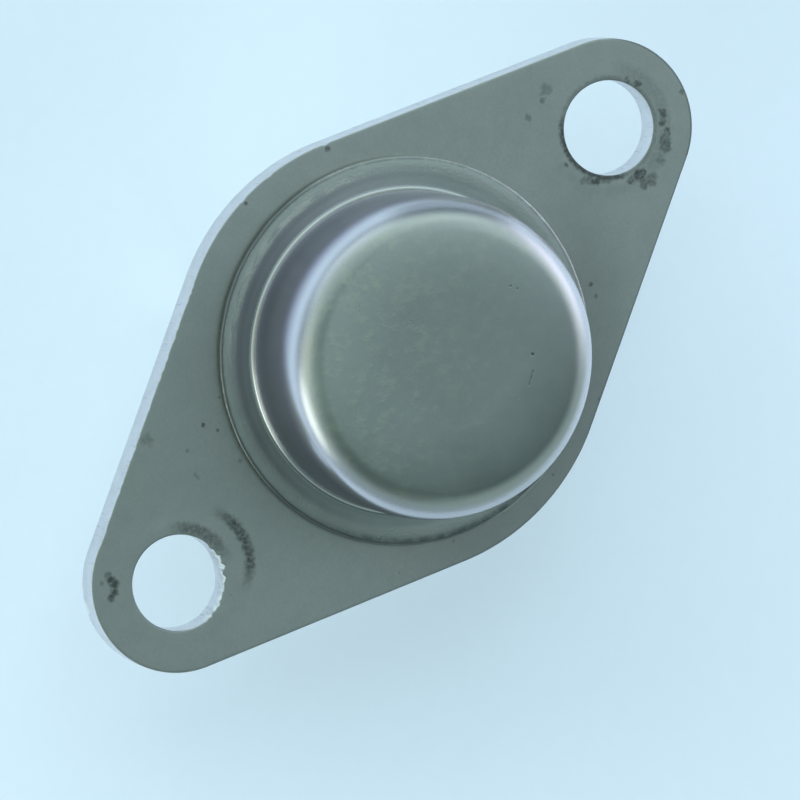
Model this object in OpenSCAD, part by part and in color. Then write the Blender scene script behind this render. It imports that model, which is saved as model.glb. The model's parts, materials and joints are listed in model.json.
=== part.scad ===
// Small power transistor in a two-hole, diamond-shaped metal package, in millimetres.
// The origin is the centre of the flange's underside. +X runs along the line of the
// mounting holes and +Z up the can, so the leads point down.

/* [Flange] */
// Thickness of the stamped plate
flange_t = 1.35; // [1.2:0.05:2]
// Distance between the centres of the mounting holes
hole_pitch = 24.38; // [23:0.02:27]
// Diameter of a mounting hole
hole_d = 3.68; // [3.2:0.02:4]
// Radius of the outline round each mounting hole
end_r = 3.46; // [3.2:0.02:4]
// Radius of the outline round the can
mid_r = 8.6; // [8.2:0.05:9.5]

/* [Cap] */
// Diameter of the can's wall
cap_d = 12.1; // [11.5:0.1:12.8]
// Height of the can's top above the flange
cap_h = 5.5; // [5:0.1:7]
// Thickness of the drawn sheet
cap_t = 0.4; // [0.3:0.02:0.5]
// Outer radius between the can's wall and its top
cap_corner_r = 1.3; // [0.8:0.1:2]
// Radius of the bend between the can's wall and its weld rim
cap_root_r = 0.28; // [0.1:0.02:0.5]
// Diameter of the weld rim
rim_d = 15; // [14.4:0.02:16]
// Rounding of the weld rim's upper edge
rim_edge_r = 0.12; // [0.05:0.01:0.2]
// How far along X the cap was welded off the flange's centre
cap_off_x = 0.32; // [-0.4:0.02:0.4]
// How far along Y the cap was welded off the flange's centre
cap_off_y = -0.14; // [-0.4:0.02:0.4]

/* [Leads] */
// Diameter of a lead
lead_d = 0.79; // [0.71:0.01:0.86]
// Length of a lead below the flange's underside
lead_l = 10.4; // [9:0.1:12.7]
// Distance between the two leads
lead_pitch = 5.08; // [4.8:0.02:5.4]
// Distance from the flange's centre to the line of the leads
lead_off = 2.54; // [2.4:0.02:2.8]
// Height of a lead's flat top above the flange
post_h = 1.6; // [1.3:0.1:2.4]
// Diameter of the flat head on a lead's top
head_d = 1.3; // [1.1:0.05:1.6]
// Thickness of that head
head_t = 0.22; // [0.15:0.01:0.4]
// Chamfer on a lead's lower tip
tip_c = 0.12; // [0.05:0.01:0.2]

/* [Glass seals] */
// Diameter of a glass seal
seal_d = 2.5; // [2:0.05:2.7]
// Depth of the hollow that the glass drew in round a lead
meniscus_h = 0.12; // [0.05:0.01:0.2]
// Width of the level glass left beside that hollow, at the lead and at the flange
meniscus_land = 0.1; // [0.05:0.01:0.15]

/* [Chip] */
// Diameter of the heat spreader
spreader_d = 5.8; // [4.8:0.1:6]
// Thickness of the heat spreader
spreader_t = 0.8; // [0.5:0.05:1]
// Chamfer on the heat spreader's upper edge
spreader_c = 0.15; // [0.05:0.01:0.3]
// Distance from the flange's centre to the heat spreader's centre
spreader_off = 1.4; // [1.3:0.05:1.8]
// Thickness of the solder under the chip
solder_t = 0.06; // [0.03:0.01:0.1]
// How far the solder shows on each side of the chip
solder_lip = 0.14; // [0.05:0.01:0.2]
// Side of the square chip
die_w = 2.5; // [2.2:0.1:3]
// Thickness of the chip's body
die_t = 0.2; // [0.15:0.01:0.3]
// Height of the raised middle of the chip
mesa_h = 0.06; // [0.03:0.01:0.1]
// Distance from the chip's edge to its raised middle
mesa_in = 0.14; // [0.1:0.01:0.2]

/* [Bond wires] */
// Diameter of the emitter's wire
emitter_wire_d = 0.25; // [0.15:0.01:0.3]
// Diameter of the base's wire
base_wire_d = 0.2; // [0.1:0.01:0.3]
// Rise of a wire's loop above the line between its ends
loop_h = 0.9; // [0.6:0.1:1.3]
// Length of the flattened foot at each end of a wire
foot_l = 0.7; // [0.5:0.05:0.8]
// Distance from the chip's centre to the bonds, towards the leads
bond_off = 0.3; // [0.1:0.05:0.5]
// Distance from the chip's centre line to each bond
bond_side = 0.6; // [0.4:0.05:0.7]

/* [Hidden] */

// A foot is wider and flatter than its wire.
foot_wide = 1.3;
foot_flat = 0.6;

// The straight sides of the outline are tangents of the end arcs and the middle arc.
// side_a is the angle that such a side makes with X.
side_a = asin((mid_r - end_r) / (hole_pitch / 2));
side_n = [sin(side_a), cos(side_a)];

cap_r = cap_d / 2;
rim_r = rim_d / 2;

spreader_top = flange_t + spreader_t;
solder_top = spreader_top + solder_t;
mesa_top = solder_top + die_t + mesa_h;
post_top = flange_t + post_h;

nickel = [0.47, 0.5, 0.5];
lead_metal = [0.62, 0.62, 0.58];
seal_glass = [0.12, 0.16, 0.15];

$fn = 96;

// Outline of the flange: three discs joined by their common tangents
module flange_outline() {
    for (side = [-1, 1])
        translate([side * hole_pitch / 2, 0]) circle(end_r);
    circle(mid_r);
    polygon([
        for (q = [[1, 1], [-1, 1], [-1, -1], [1, -1]])
            let (n = [q.x * side_n.x, q.y * side_n.y],
                 at_end = [q.x * hole_pitch / 2, 0] + end_r * n,
                 at_mid = mid_r * n)
            each (q.x * q.y > 0 ? [at_end, at_mid] : [at_mid, at_end])
    ]);
}

// Places its children on the lead at the +Y side or the -Y side
module at_lead(side) {
    translate([-lead_off, side * lead_pitch / 2, 0]) children();
}

module header() {
    color(nickel)
    linear_extrude(flange_t)
    difference() {
        flange_outline();
        for (side = [-1, 1]) {
            translate([side * hole_pitch / 2, 0]) circle(d = hole_d);
            at_lead(side) circle(d = seal_d);
        }
    }
}

// Half section of a can of radius r and height h, with its top corner rounded
module can_section(r, h, corner) {
    square([r - corner, h]);
    square([r, h - corner]);
    translate([r - corner, h - corner]) circle(corner);
}

// Half section of the cap: one sheet of even thickness, drawn up from its rim
module cap_section() {
    bend_x = cap_r + cap_root_r;
    bend_z = cap_t + cap_root_r;
    difference() {
        union() {
            can_section(cap_r, cap_h, cap_corner_r);
            square([rim_r - rim_edge_r, cap_t]);
            square([rim_r, cap_t - rim_edge_r]);
            translate([rim_r - rim_edge_r, cap_t - rim_edge_r]) circle(rim_edge_r);
            square([bend_x, bend_z]);
        }
        translate([bend_x, bend_z]) circle(cap_root_r);
        difference() {
            square([bend_x, bend_z]);
            translate([bend_x, bend_z]) circle(cap_root_r + cap_t);
        }
        translate([0, bend_z])
            can_section(cap_r - cap_t, cap_h - cap_t - bend_z, cap_corner_r - cap_t);
        square([cap_r - cap_t, bend_z]);
    }
}

module cap() {
    color(nickel)
    translate([cap_off_x, cap_off_y, flange_t])
    rotate_extrude()
    cap_section();
}

// A round pin with a flat head inside the can and a chamfered tip
module lead(side) {
    at_lead(side) {
        translate([0, 0, tip_c - lead_l])
            cylinder(h = lead_l - tip_c + post_top - head_t, d = lead_d);
        translate([0, 0, -lead_l])
            cylinder(h = tip_c, d1 = lead_d - 2 * tip_c, d2 = lead_d);
        translate([0, 0, post_top - head_t]) cylinder(h = head_t, d = head_d);
    }
}

module emitter_lead() { color(lead_metal) lead(1); }

module base_lead() { color(lead_metal) lead(-1); }

// A glass bead that fills its hole and is drawn in round the lead at both faces
module seal(side) {
    ring_w = (seal_d - lead_d) / 2;
    half_w = ring_w / 2 - meniscus_land;
    groove_r = (half_w * half_w + meniscus_h * meniscus_h) / (2 * meniscus_h);
    at_lead(side)
    rotate_extrude()
    difference() {
        translate([lead_d / 2, 0]) square([ring_w, flange_t]);
        for (z = [meniscus_h - groove_r, flange_t - meniscus_h + groove_r])
            translate([(seal_d + lead_d) / 4, z]) circle(groove_r);
    }
}

module emitter_seal() { color(seal_glass) seal(1); }

module base_seal() { color(seal_glass) seal(-1); }

module heat_spreader() {
    color([0.72, 0.45, 0.3])
    translate([spreader_off, 0, flange_t]) {
        cylinder(h = spreader_t - spreader_c, d = spreader_d);
        translate([0, 0, spreader_t - spreader_c])
            cylinder(h = spreader_c, d1 = spreader_d, d2 = spreader_d - 2 * spreader_c);
    }
}

// A square plate of side w centred over the heat spreader, from height z
module chip_plate(w, z, h) {
    translate([spreader_off - w / 2, -w / 2, z]) cube([w, w, h]);
}

module die_solder() {
    color([0.66, 0.67, 0.68])
    chip_plate(die_w + 2 * solder_lip, spreader_top, solder_t);
}

module die() {
    color([0.32, 0.33, 0.37]) {
        chip_plate(die_w, solder_top, die_t);
        chip_plate(die_w - 2 * mesa_in, solder_top, die_t + mesa_h);
    }
}

// A flattened wire end of width w and height h, centred on the origin along X
module foot(w, h) {
    linear_extrude(h) {
        square([foot_l - w, w], center = true);
        for (side = [-1, 1]) translate([side * (foot_l - w) / 2, 0]) circle(d = w);
    }
}

// A wire of diameter d that loops from a foot at point a to a foot at point b
module bond_wire(a, b, d) {
    heading = atan2(b.y - a.y, b.x - a.x);
    inset = (foot_l - d) / 2 * [cos(heading), sin(heading), 0];
    from = a + inset;
    to = b - inset;
    chord = norm(to - from);
    climb = asin((to.z - from.z) / chord);
    loop_r = (chord * chord / 4 + loop_h * loop_h) / (2 * loop_h);
    half_a = asin(chord / 2 / loop_r);
    translate((from + to) / 2 + [0, 0, d / 2])
    rotate([0, -climb, heading])
    translate([0, 0, loop_h - loop_r])
    rotate([90, 0, 0])
    rotate([0, 0, 90 - half_a])
    rotate_extrude(angle = 2 * half_a)
    translate([loop_r, 0])
    circle(d = d);
    for (end = [a, b])
        translate(end)
        rotate([0, 0, heading])
        foot(foot_wide * d, foot_flat * d);
}

// The wire on one side runs from its lead's head to its pad on the chip.
module chip_wire(side, d) {
    bond_wire([-lead_off, side * lead_pitch / 2, post_top],
              [spreader_off - bond_off, side * bond_side, mesa_top], d);
}

module emitter_wire() { color([0.8, 0.8, 0.82]) chip_wire(1, emitter_wire_d); }

module base_wire() { color([0.8, 0.8, 0.82]) chip_wire(-1, base_wire_d); }

header();
cap();
emitter_lead();
base_lead();
emitter_seal();
base_seal();
heat_spreader();
die_solder();
die();
emitter_wire();
base_wire();
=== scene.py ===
# %% [markdown] A small power transistor in a metal can. Seven pieces of it are dressed here
# with meshes of their own and four small pieces inside the can keep the solids of the packed
# model.

import json
import math
import random

import bmesh
import bpy
from mathutils import Matrix, Vector, noise
from mathutils.geometry import delaunay_2d_cdt

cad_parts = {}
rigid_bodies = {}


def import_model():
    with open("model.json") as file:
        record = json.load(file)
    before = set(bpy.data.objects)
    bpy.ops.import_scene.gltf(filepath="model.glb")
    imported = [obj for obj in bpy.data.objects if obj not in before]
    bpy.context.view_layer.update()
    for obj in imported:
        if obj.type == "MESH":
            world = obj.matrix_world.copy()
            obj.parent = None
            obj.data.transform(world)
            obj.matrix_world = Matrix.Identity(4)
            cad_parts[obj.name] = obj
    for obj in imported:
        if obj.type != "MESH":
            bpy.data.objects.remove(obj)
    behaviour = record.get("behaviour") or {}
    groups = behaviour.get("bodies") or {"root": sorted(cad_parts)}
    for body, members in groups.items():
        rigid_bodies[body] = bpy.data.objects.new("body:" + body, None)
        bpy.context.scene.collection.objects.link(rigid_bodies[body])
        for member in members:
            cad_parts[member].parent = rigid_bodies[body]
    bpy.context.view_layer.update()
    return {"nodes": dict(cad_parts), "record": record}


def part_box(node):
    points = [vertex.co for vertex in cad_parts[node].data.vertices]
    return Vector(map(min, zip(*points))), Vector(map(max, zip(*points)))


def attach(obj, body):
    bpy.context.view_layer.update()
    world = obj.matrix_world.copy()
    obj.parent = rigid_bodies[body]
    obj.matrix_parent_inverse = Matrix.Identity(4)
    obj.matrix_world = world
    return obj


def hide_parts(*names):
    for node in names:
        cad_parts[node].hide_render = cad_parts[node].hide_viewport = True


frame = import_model()
scene = bpy.context.scene
MM = 0.001
print("the frame holds", ", ".join(sorted(frame["nodes"])))

# %% [markdown]
# The camera stands where the photographer's stood. The outline of the flange, its two holes and
# the rings of the cap were fitted to the picture, which gave the camera's place and its two image
# axes in the part's own frame. A long lens far away keeps the ellipses of the holes as flat as
# the picture shows them.

# %% Camera
camera_place = Vector((-47.12, 77.9, 257.57)) * MM
image_right = Vector((0.6763, -0.6606, 0.3259)).normalized()
image_up = Vector((0.717, 0.6918, -0.0854))
image_up = (image_up - image_right * image_up.dot(image_right)).normalized()
toward_camera = image_right.cross(image_up)
camera = bpy.data.objects.new("camera", bpy.data.cameras.new("camera"))
camera.data.lens = 319.0
camera.data.sensor_width = 36.0
camera.data.clip_start = 0.01
camera.matrix_world = Matrix.Translation(camera_place) @ Matrix(
    (image_right, image_up, toward_camera)).transposed().to_4x4()
scene.collection.objects.link(camera)
scene.camera = camera
print("camera", round(camera_place.length / MM), "mm from the origin, lens", camera.data.lens)

# %% [markdown]
# Driving sizes. Those that the packed model can tell are measured on it, in millimetres, and the
# few that lie inside one of its nodes are given here, such as the bend radii of the drawn cap. The
# can's wall stands a little further out than the packed model's, because its shoulder curves in
# more gradually, and what shows from above is the shoulder.

# %% Sizes
holes = next(m for m in frame["record"]["mounts"] if m["name"] == "mounting_holes")["dims"]
hole_pitch = holes["spacing_x_mm"]
hole_r = holes["hole_r_mm"]


def span(node):
    """The lowest and the highest corner of a node, in millimetres."""
    low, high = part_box(node)
    return low / MM, high / MM


header_high = span("header")[1]
plate_t = header_high.z
mid_r = header_high.y
end_r = header_high.x - hole_pitch / 2
cap_low, cap_high = span("cap")
cap_x = (cap_low.x + cap_high.x) / 2
cap_y = (cap_low.y + cap_high.y) / 2
rim_r = (cap_high.x - cap_low.x) / 2
cap_h = cap_high.z - plate_t
cap_r = 6.19
sheet_t = 0.4
foot_r = 6.2
root_r = 0.16
corner_r = 1.3
seal_low, seal_high = span("emitter_seal")
seal_r = (seal_high.x - seal_low.x) / 2
lead_x = (seal_low.x + seal_high.x) / 2
lead_y = (seal_low.y + seal_high.y) / 2
lead_low, lead_high = span("emitter_lead")
lead_r = 0.395
head_r = (lead_high.x - lead_low.x) / 2
head_t = 0.22
print(f"plate {plate_t:.2f} mm thick, rim {rim_r:.2f} mm, can {cap_h:.2f} mm high")

# %% [markdown]
# Two makers of meshes serve the whole part. One turns a list of points and faces in millimetres
# into a piece that rides on the part's one body. The other turns a section round an upright axis,
# as a lathe does, with a function that may push single points about, so that the unevenness of a
# weld is real geometry.


# %% Mesh makers
def make_piece(name, points, faces, replaced, slot):
    """A smooth closed mesh, given in millimetres, that stands for one CAD node."""
    mesh = bpy.data.meshes.new(name)
    mesh.from_pydata([Vector(point) * MM for point in points], [], faces)
    work = bmesh.new()
    work.from_mesh(mesh)
    bmesh.ops.recalc_face_normals(work, faces=work.faces)
    work.to_mesh(mesh)
    work.free()
    mesh.shade_smooth()
    piece = bpy.data.objects.new(name, mesh)
    scene.collection.objects.link(piece)
    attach(piece, "root")
    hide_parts(replaced)
    print(name, len(mesh.vertices), "points,", len(mesh.polygons), "faces")
    return piece


def turn(section, segments, centre, shift=None):
    """Points and faces of a section of (radius, height) turned round the axis at centre."""
    points, faces, rings = [], [], []
    for radius, height in section:
        count = 1 if radius < 1e-6 else segments
        rings.append([len(points) + i for i in range(count)])
        for i in range(count):
            angle = 2 * math.pi * i / segments
            out, up = shift(radius, height, angle) if shift else (0, 0)
            points.append((centre[0] + (radius + out) * math.cos(angle),
                           centre[1] + (radius + out) * math.sin(angle), height + up))
    on_axis = section[0][0] < 1e-6
    pairs = list(zip(rings, rings[1:]))
    if not on_axis:
        pairs.append((rings[-1], rings[0]))
    for low, high in pairs:
        if len(low) == len(high) == 1:
            continue
        for i in range(segments):
            j = (i + 1) % segments
            corners = [low[i % len(low)], low[j % len(low)]]
            corners += [high[j % len(high)], high[i % len(high)]]
            faces.append(list(dict.fromkeys(corners)))
    return points, faces


def bend(centre, radius, start, end, count):
    """Points of an arc in a section, with its angles in degrees."""
    steps = [math.radians(start + (end - start) * i / count) for i in range(count + 1)]
    return [(centre[0] + radius * math.cos(a), centre[1] + radius * math.sin(a)) for a in steps]


def smooth(low, high, value):
    """0 below low, 1 above high and an even curve between."""
    t = min(1, max(0, (value - low) / (high - low)))
    return t * t * (3 - 2 * t)


# %% [markdown]
# The header is one steel stamping. Its outline is three circles joined by their tangents. The
# press leaves the upper edge rolled over a little, then a smooth band where the punch rubbed, and
# below it a rougher torn band. Each edge is therefore a list of steps, given as how far a ring
# lies inside the outline and how high, and the same list serves the outline and the holes.


# %% Outline of the header
side_angle = math.asin((mid_r - end_r) / (hole_pitch / 2))
side_reach = hole_pitch / 2 * math.cos(side_angle)
OUTLINE_STEP = 0.11


def header_outline():
    """Points of the outline and the directions that face out of the plate there."""
    quarter = math.pi / 2
    arcs = [((hole_pitch / 2, 0), end_r, side_angle - quarter, quarter - side_angle),
            ((0, 0), mid_r, quarter - side_angle, quarter + side_angle),
            ((-hole_pitch / 2, 0), end_r, quarter + side_angle, 3 * quarter - side_angle),
            ((0, 0), mid_r, 3 * quarter - side_angle, 3 * quarter + side_angle)]
    line = []
    for centre, radius, start, end in arcs:
        count = round(radius * (end - start) / OUTLINE_STEP)
        for i in range(count + 1):
            angle = start + (end - start) * i / count
            facing = Vector((math.cos(angle), math.sin(angle)))
            line.append((Vector(centre) + facing * radius, facing))
        side_steps = round(side_reach / OUTLINE_STEP)
        along = Vector((-facing.y, facing.x))
        corner = line[-1][0]
        line += [(corner + along * side_reach * i / side_steps, facing) for i in range(1, side_steps)]
    return line


def hole_outline(centre, radius, count):
    """The same for a round hole, where the metal faces its middle."""
    line = []
    for i in range(count):
        facing = Vector((math.cos(2 * math.pi * i / count), math.sin(2 * math.pi * i / count)))
        line.append((Vector(centre) + facing * radius, -facing))
    return line


def depth_inside(x, y):
    """How far a point lies inside the header's outline."""
    x, y = abs(x), abs(y)
    along = x * math.cos(side_angle) - y * math.sin(side_angle)
    if along <= 0:
        return mid_r - math.hypot(x, y)
    if along >= side_reach:
        return end_r - math.hypot(x - hole_pitch / 2, y)
    return mid_r - (x * math.sin(side_angle) + y * math.cos(side_angle))


outline = header_outline()
print(len(outline), "points round the outline")

# %% [markdown]
# Wear on the header. Chips are small bites out of the upper edge, at the places where the photo
# has them, given as x, y, size and depth, and a row of finer nicks follows the long upper left side.
# Round the left hole a screw has torn the edge into a ragged burr.

# %% Wear
edge_chips = [(3.58, 7.67, 0.2, 0.09), (-0.19, 8.5, 0.16, 0.05), (6.11, 6.92, 0.16, 0.05),
              (1.2, 8.42, 0.18, 0.04), (-2.47, 7.95, 0.16, 0.04), (-11.11, 4.6, 0.2, 0.05),
              (15.2, -1.2, 0.14, 0.04), (15.55, 0.46, 0.1, 0.02)]
NICKS = 26
dice = random.Random(5)
for i in range(NICKS):
    along = side_reach * dice.uniform(0.02, 0.98)
    facing = Vector((-math.sin(side_angle), math.cos(side_angle)))
    spot = facing * mid_r - Vector((math.cos(side_angle), math.sin(side_angle))) * along
    edge_chips.append((spot.x, spot.y, dice.uniform(0.07, 0.15), dice.uniform(0.01, 0.035)))
left_hole = Vector((-hole_pitch / 2, 0))
right_hole = Vector((hole_pitch / 2, 0))
burr_from = math.radians(-105)
burr_to = math.radians(14)
BURR_SIZE = 0.11


def wear_edge(place, facing, height):
    """How far a chip takes a point of the upper edge into the plate."""
    bite = 0
    for x, y, size, deep in edge_chips:
        gap = math.hypot(place.x - x, place.y - y)
        if gap < size:
            bite = max(bite, deep * (1 - (gap / size) ** 2) * smooth(plate_t - 0.5, plate_t - 0.1, height))
    return bite


def wear_left_hole(place, facing, height):
    """How far the torn edge of the left hole moves, in or out."""
    angle = math.atan2(place.y - left_hole.y, place.x - left_hole.x)
    ends = smooth(burr_from, burr_from + 0.3, angle) * (1 - smooth(burr_to - 0.3, burr_to, angle))
    steps = noise.noise((angle * 9, height * 2.5, 3)) + 0.8 * noise.noise((angle * 27, height * 5, 9))
    return BURR_SIZE * ends * steps * smooth(0.15, 0.6, height)


print(len(edge_chips), "chips in the upper edge")

# %% [markdown]
# The flat faces between the outline and the holes are filled by a constrained Delaunay
# triangulation, which keeps every ring of points whole. A loose grid of points inside lets the
# plate be very slightly uneven, as stamped plate is, so that its reflection isn't dead flat.

# %% Flat faces of the header
GRID = 0.3
UNLEVEL = 0.02


def plate_dip(x, y):
    """How far the upper face lies below its highest level."""
    swell = noise.noise((x * 0.16, y * 0.16, 4.2)) + 0.35 * noise.noise((x * 0.55, y * 0.55, 7.7))
    return UNLEVEL * (0.5 + 0.37 * swell) * smooth(0.4, 2.0, depth_inside(x, y))


def fill_between(points, faces, top_loops, under_loops, seal_centres):
    """Adds the two flat faces of the plate, between the innermost rings of all its edges."""
    flat, bounds, ring_ids = [], [], []
    loop_of = {}
    for number, loop in enumerate(top_loops):
        first = len(flat)
        loop_of.update({first + i: number for i in range(len(loop))})
        flat += [Vector(points[i][:2]) for i in loop]
        bounds += [(first + i, first + (i + 1) % len(loop)) for i in range(len(loop))]
    for top, under in zip(top_loops, under_loops):
        ring_ids += list(zip(top, under))
    grid_dice = random.Random(11)
    clear = [(left_hole, hole_r + 0.6), (right_hole, hole_r + 0.6)]
    clear += [(Vector(c), seal_r + 0.3) for c in seal_centres]
    rows = int(mid_r / GRID)
    columns = int(header_high.x / GRID)
    for row in range(-rows, rows + 1):
        for column in range(-columns, columns + 1):
            spot = Vector((column + 0.5 * (row % 2), row)) * GRID
            spot += Vector((grid_dice.uniform(-1, 1), grid_dice.uniform(-1, 1))) * GRID * 0.12
            if depth_inside(*spot) > 0.6 and all((spot - c).length > r for c, r in clear):
                flat.append(spot)
    spots, _, triangles, origins, _, _ = delaunay_2d_cdt(flat, bounds, [], 2, 1e-5)
    pairs, loops = [], []
    for spot, origin in zip(spots, origins):
        ringed = [i for i in origin if i < len(ring_ids)]
        loops.append(loop_of[ringed[0]] if ringed else 0)
        if ringed:
            pairs.append(ring_ids[ringed[0]])
            continue
        points.append((spot.x, spot.y, plate_t - plate_dip(*spot)))
        points.append((spot.x, spot.y, 0))
        pairs.append((len(points) - 2, len(points) - 1))
    for triangle in triangles:
        corners = {loops[i] for i in triangle}
        spans_hole = len(corners) == 1 and 0 not in corners
        if not spans_hole:
            faces.append([pairs[i][0] for i in triangle])
            faces.append([pairs[i][1] for i in reversed(triangle)])


print(f"the flat faces get a point every {GRID} mm and dip by up to {UNLEVEL} mm")

# %% [markdown]
# Each edge of the plate is a band of rings, one for every step of its list. The bands are made
# first, with the wear pushing the rings of the upper edge about, and their innermost rings bound
# the flat faces.

# %% Header
HOLE_POINTS = 160
SEAL_POINTS = 72
OUTER_EDGE = [(0.5, plate_t), (0.3, plate_t), (0.13, plate_t), (0.06, plate_t - 0.001),
              (0.035, plate_t - 0.004), (0.016, plate_t - 0.012), (0.004, plate_t - 0.028),
              (0, plate_t - 0.05), (0, plate_t - 0.28), (0, plate_t - 0.5), (0.012, plate_t - 0.6),
              (0.028, plate_t - 0.7), (0.028, 0.4), (0.02, 0.2), (0.012, 0.08), (0.03, 0.02),
              (0.06, 0), (0.3, 0), (0.5, 0)]
SEAL_EDGE = [(0.2, plate_t), (0.03, plate_t), (0.008, plate_t - 0.008), (0, plate_t - 0.03),
             (0, 0.03), (0.008, 0.008), (0.03, 0), (0.2, 0)]


def header_mesh():
    """Points and faces of the whole plate."""
    points, faces = [], []
    top_loops, under_loops = [], []
    seal_centres = [(lead_x, lead_y), (lead_x, -lead_y)]
    edges = [(outline, OUTER_EDGE, wear_edge)]
    edges.append((hole_outline(left_hole, hole_r, HOLE_POINTS), OUTER_EDGE, wear_left_hole))
    edges.append((hole_outline(right_hole, hole_r, HOLE_POINTS), OUTER_EDGE, None))
    edges += [(hole_outline(c, seal_r, SEAL_POINTS), SEAL_EDGE, None) for c in seal_centres]
    for line, steps, wear in edges:
        rings = []
        for inset, height in steps:
            rings.append(range(len(points), len(points) + len(line)))
            for place, facing in line:
                moved = inset
                if wear and inset < 0.25:
                    moved += wear(place, facing, height)
                spot = place - facing * moved
                points.append((spot.x, spot.y, height))
        for low, high in zip(rings, rings[1:]):
            for i in range(len(line)):
                j = (i + 1) % len(line)
                faces.append((low[i], low[j], high[j], high[i]))
        top_loops.append(list(rings[0]))
        under_loops.append(list(rings[-1]))
    fill_between(points, faces, top_loops, under_loops, seal_centres)
    return points, faces


header = make_piece("flange", *header_mesh(), "header", "flange_nickel")

# %% [markdown]
# The cap is one piece of thin sheet, drawn into a can with a rim and welded down. Its section is
# followed once round: along the rim's underside, over its edge, up the wall and over the corner
# to the middle of the top, and back inside at a sheet's distance. On the real cap the flat top
# doesn't meet the corner's arc at a line, and neither does the wall. The curve tightens gradually
# from both sides, so the section steps through the angle of its tangent, with a changing radius.

# %% Section of the cap
SOFT_R = 30
SOFT_ANGLE = math.radians(11)
WALL_SOFT_R = 6
WALL_SOFT_ANGLE = math.radians(68)
CORNER_STEPS = 44
WALL_STEPS = 9
TOP_STEPS = 14
RIM_EDGE_R = 0.12
RIM_LOWER_EDGE = [(0.2, 0), (0.07, 0.004), (0.03, 0.025), (0.008, 0.07), (0, 0.14)]


def corner_radius(angle):
    """Radius of the outer curve where its tangent has turned by angle from the flat top."""
    near_top = (1 - smooth(0, SOFT_ANGLE, angle)) ** 2
    near_wall = smooth(WALL_SOFT_ANGLE, math.pi / 2, angle)
    return corner_r + (SOFT_R - corner_r) * near_top + (WALL_SOFT_R - corner_r) * near_wall


def outer_corner():
    """The corner from the wall up to the flat top, as points and the directions they face."""
    radius, height = cap_r, 0
    curve = []
    turn_step = math.pi / 2 / CORNER_STEPS / 4
    for i in range(CORNER_STEPS * 4 + 1):
        angle = math.pi / 2 - turn_step * i
        if i % 4 == 0:
            curve.append((radius, height, math.sin(angle), math.cos(angle)))
        middle = angle - turn_step / 2
        radius -= corner_radius(middle) * math.cos(middle) * turn_step
        height += corner_radius(middle) * math.sin(middle) * turn_step
    return [(r, cap_h - height + h, across, up) for r, h, across, up in curve]


def cap_section():
    """The section of the sheet, once round, from the rim's underside back to it."""
    bend_r = foot_r + root_r
    bend_h = sheet_t + root_r
    corner = outer_corner()
    rim = [(bend_r + (rim_r - 0.5 - bend_r) * i / 4, 0) for i in range(5)]
    rim += [(rim_r - inset, height) for inset, height in RIM_LOWER_EDGE]
    rim += bend((rim_r - RIM_EDGE_R, sheet_t - RIM_EDGE_R), RIM_EDGE_R, 0, 90, 6)
    flat_rim = rim_r - RIM_EDGE_R - bend_r
    rim += [(bend_r + flat_rim * (1 - i / WALL_STEPS), sheet_t) for i in range(1, WALL_STEPS)]
    root = bend((bend_r, bend_h), root_r, 270, 180, 12)
    wall_top = corner[0][1]
    wall = [(foot_r + (cap_r - foot_r) * i / WALL_STEPS, bend_h + (wall_top - bend_h) * i / WALL_STEPS)
            for i in range(1, WALL_STEPS)]
    over = [(r, h) for r, h, _, _ in corner]
    flat_r = over[-1][0]
    top = [(flat_r * (1 - i / TOP_STEPS), cap_h) for i in range(1, TOP_STEPS + 1)]
    inside = [(flat_r * i / 6, cap_h - sheet_t) for i in range(6)]
    inside += [(r - across * sheet_t, h - up * sheet_t) for r, h, across, up in reversed(corner)]
    inside += [(cap_r - sheet_t + (foot_r - cap_r) * i / 4, wall_top - (wall_top - bend_h) * i / 4)
               for i in range(1, 5)]
    inside += bend((bend_r, bend_h), root_r + sheet_t, 180, 270, 10)[1:-1]
    return [(r, h + plate_t) for r, h in rim + root + wall + over + top + inside]


section = cap_section()
print(len(section), "points in the cap's section")

# %% [markdown]
# Welding leaves its mark on the cap. The electrode squeezed the rim's edge a little uneven and
# pressed its outer part down by two hundredths of a millimetre. The lathe asks this function for
# the shift of each point.


# %% Cap
CAP_SEGMENTS = 288
RIM_PRESSED = 0.02


def press_rim(radius, height, angle):
    """How far a point of the cap moves outward and up."""
    up_rim = height - plate_t
    out, up = 0, 0
    if radius > foot_r + root_r and up_rim < sheet_t + 0.01:
        near_edge = smooth(rim_r - 0.35, rim_r, radius)
        uneven = noise.noise((math.cos(angle) * 9, math.sin(angle) * 9, 2))
        fine = noise.noise((math.cos(angle) * 34, math.sin(angle) * 34, 5))
        out = near_edge * (0.016 * uneven + 0.004 * fine) * smooth(0.0, 0.1, up_rim)
        up = smooth(0.3, 0.4, up_rim) * (0.006 * uneven + 0.002 * fine) * smooth(6.5, 6.8, radius)
        up -= RIM_PRESSED * smooth(0.3, 0.4, up_rim) * smooth(rim_r - 0.4, rim_r - 0.1, radius)
    return out, up


cap_mesh = turn(section, CAP_SEGMENTS, (cap_x, cap_y), press_rim)
cap = make_piece("can", *cap_mesh, "cap", "cap_nickel")

# %% [markdown]
# Each lead is a round pin with a flat head on the inside, where a bond wire sits, and a cut tip
# with its edge rolled over. The glass of a seal creeps up the lead and the hole's wall when it
# melts, which leaves a shallow hollow between them. Both are turned sections too.

# %% Leads and seals
TIP_R = 0.14
HEAD_LOWER_R = 0.05
HEAD_UPPER_R = 0.07
LEAD_POINTS = 40


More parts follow.
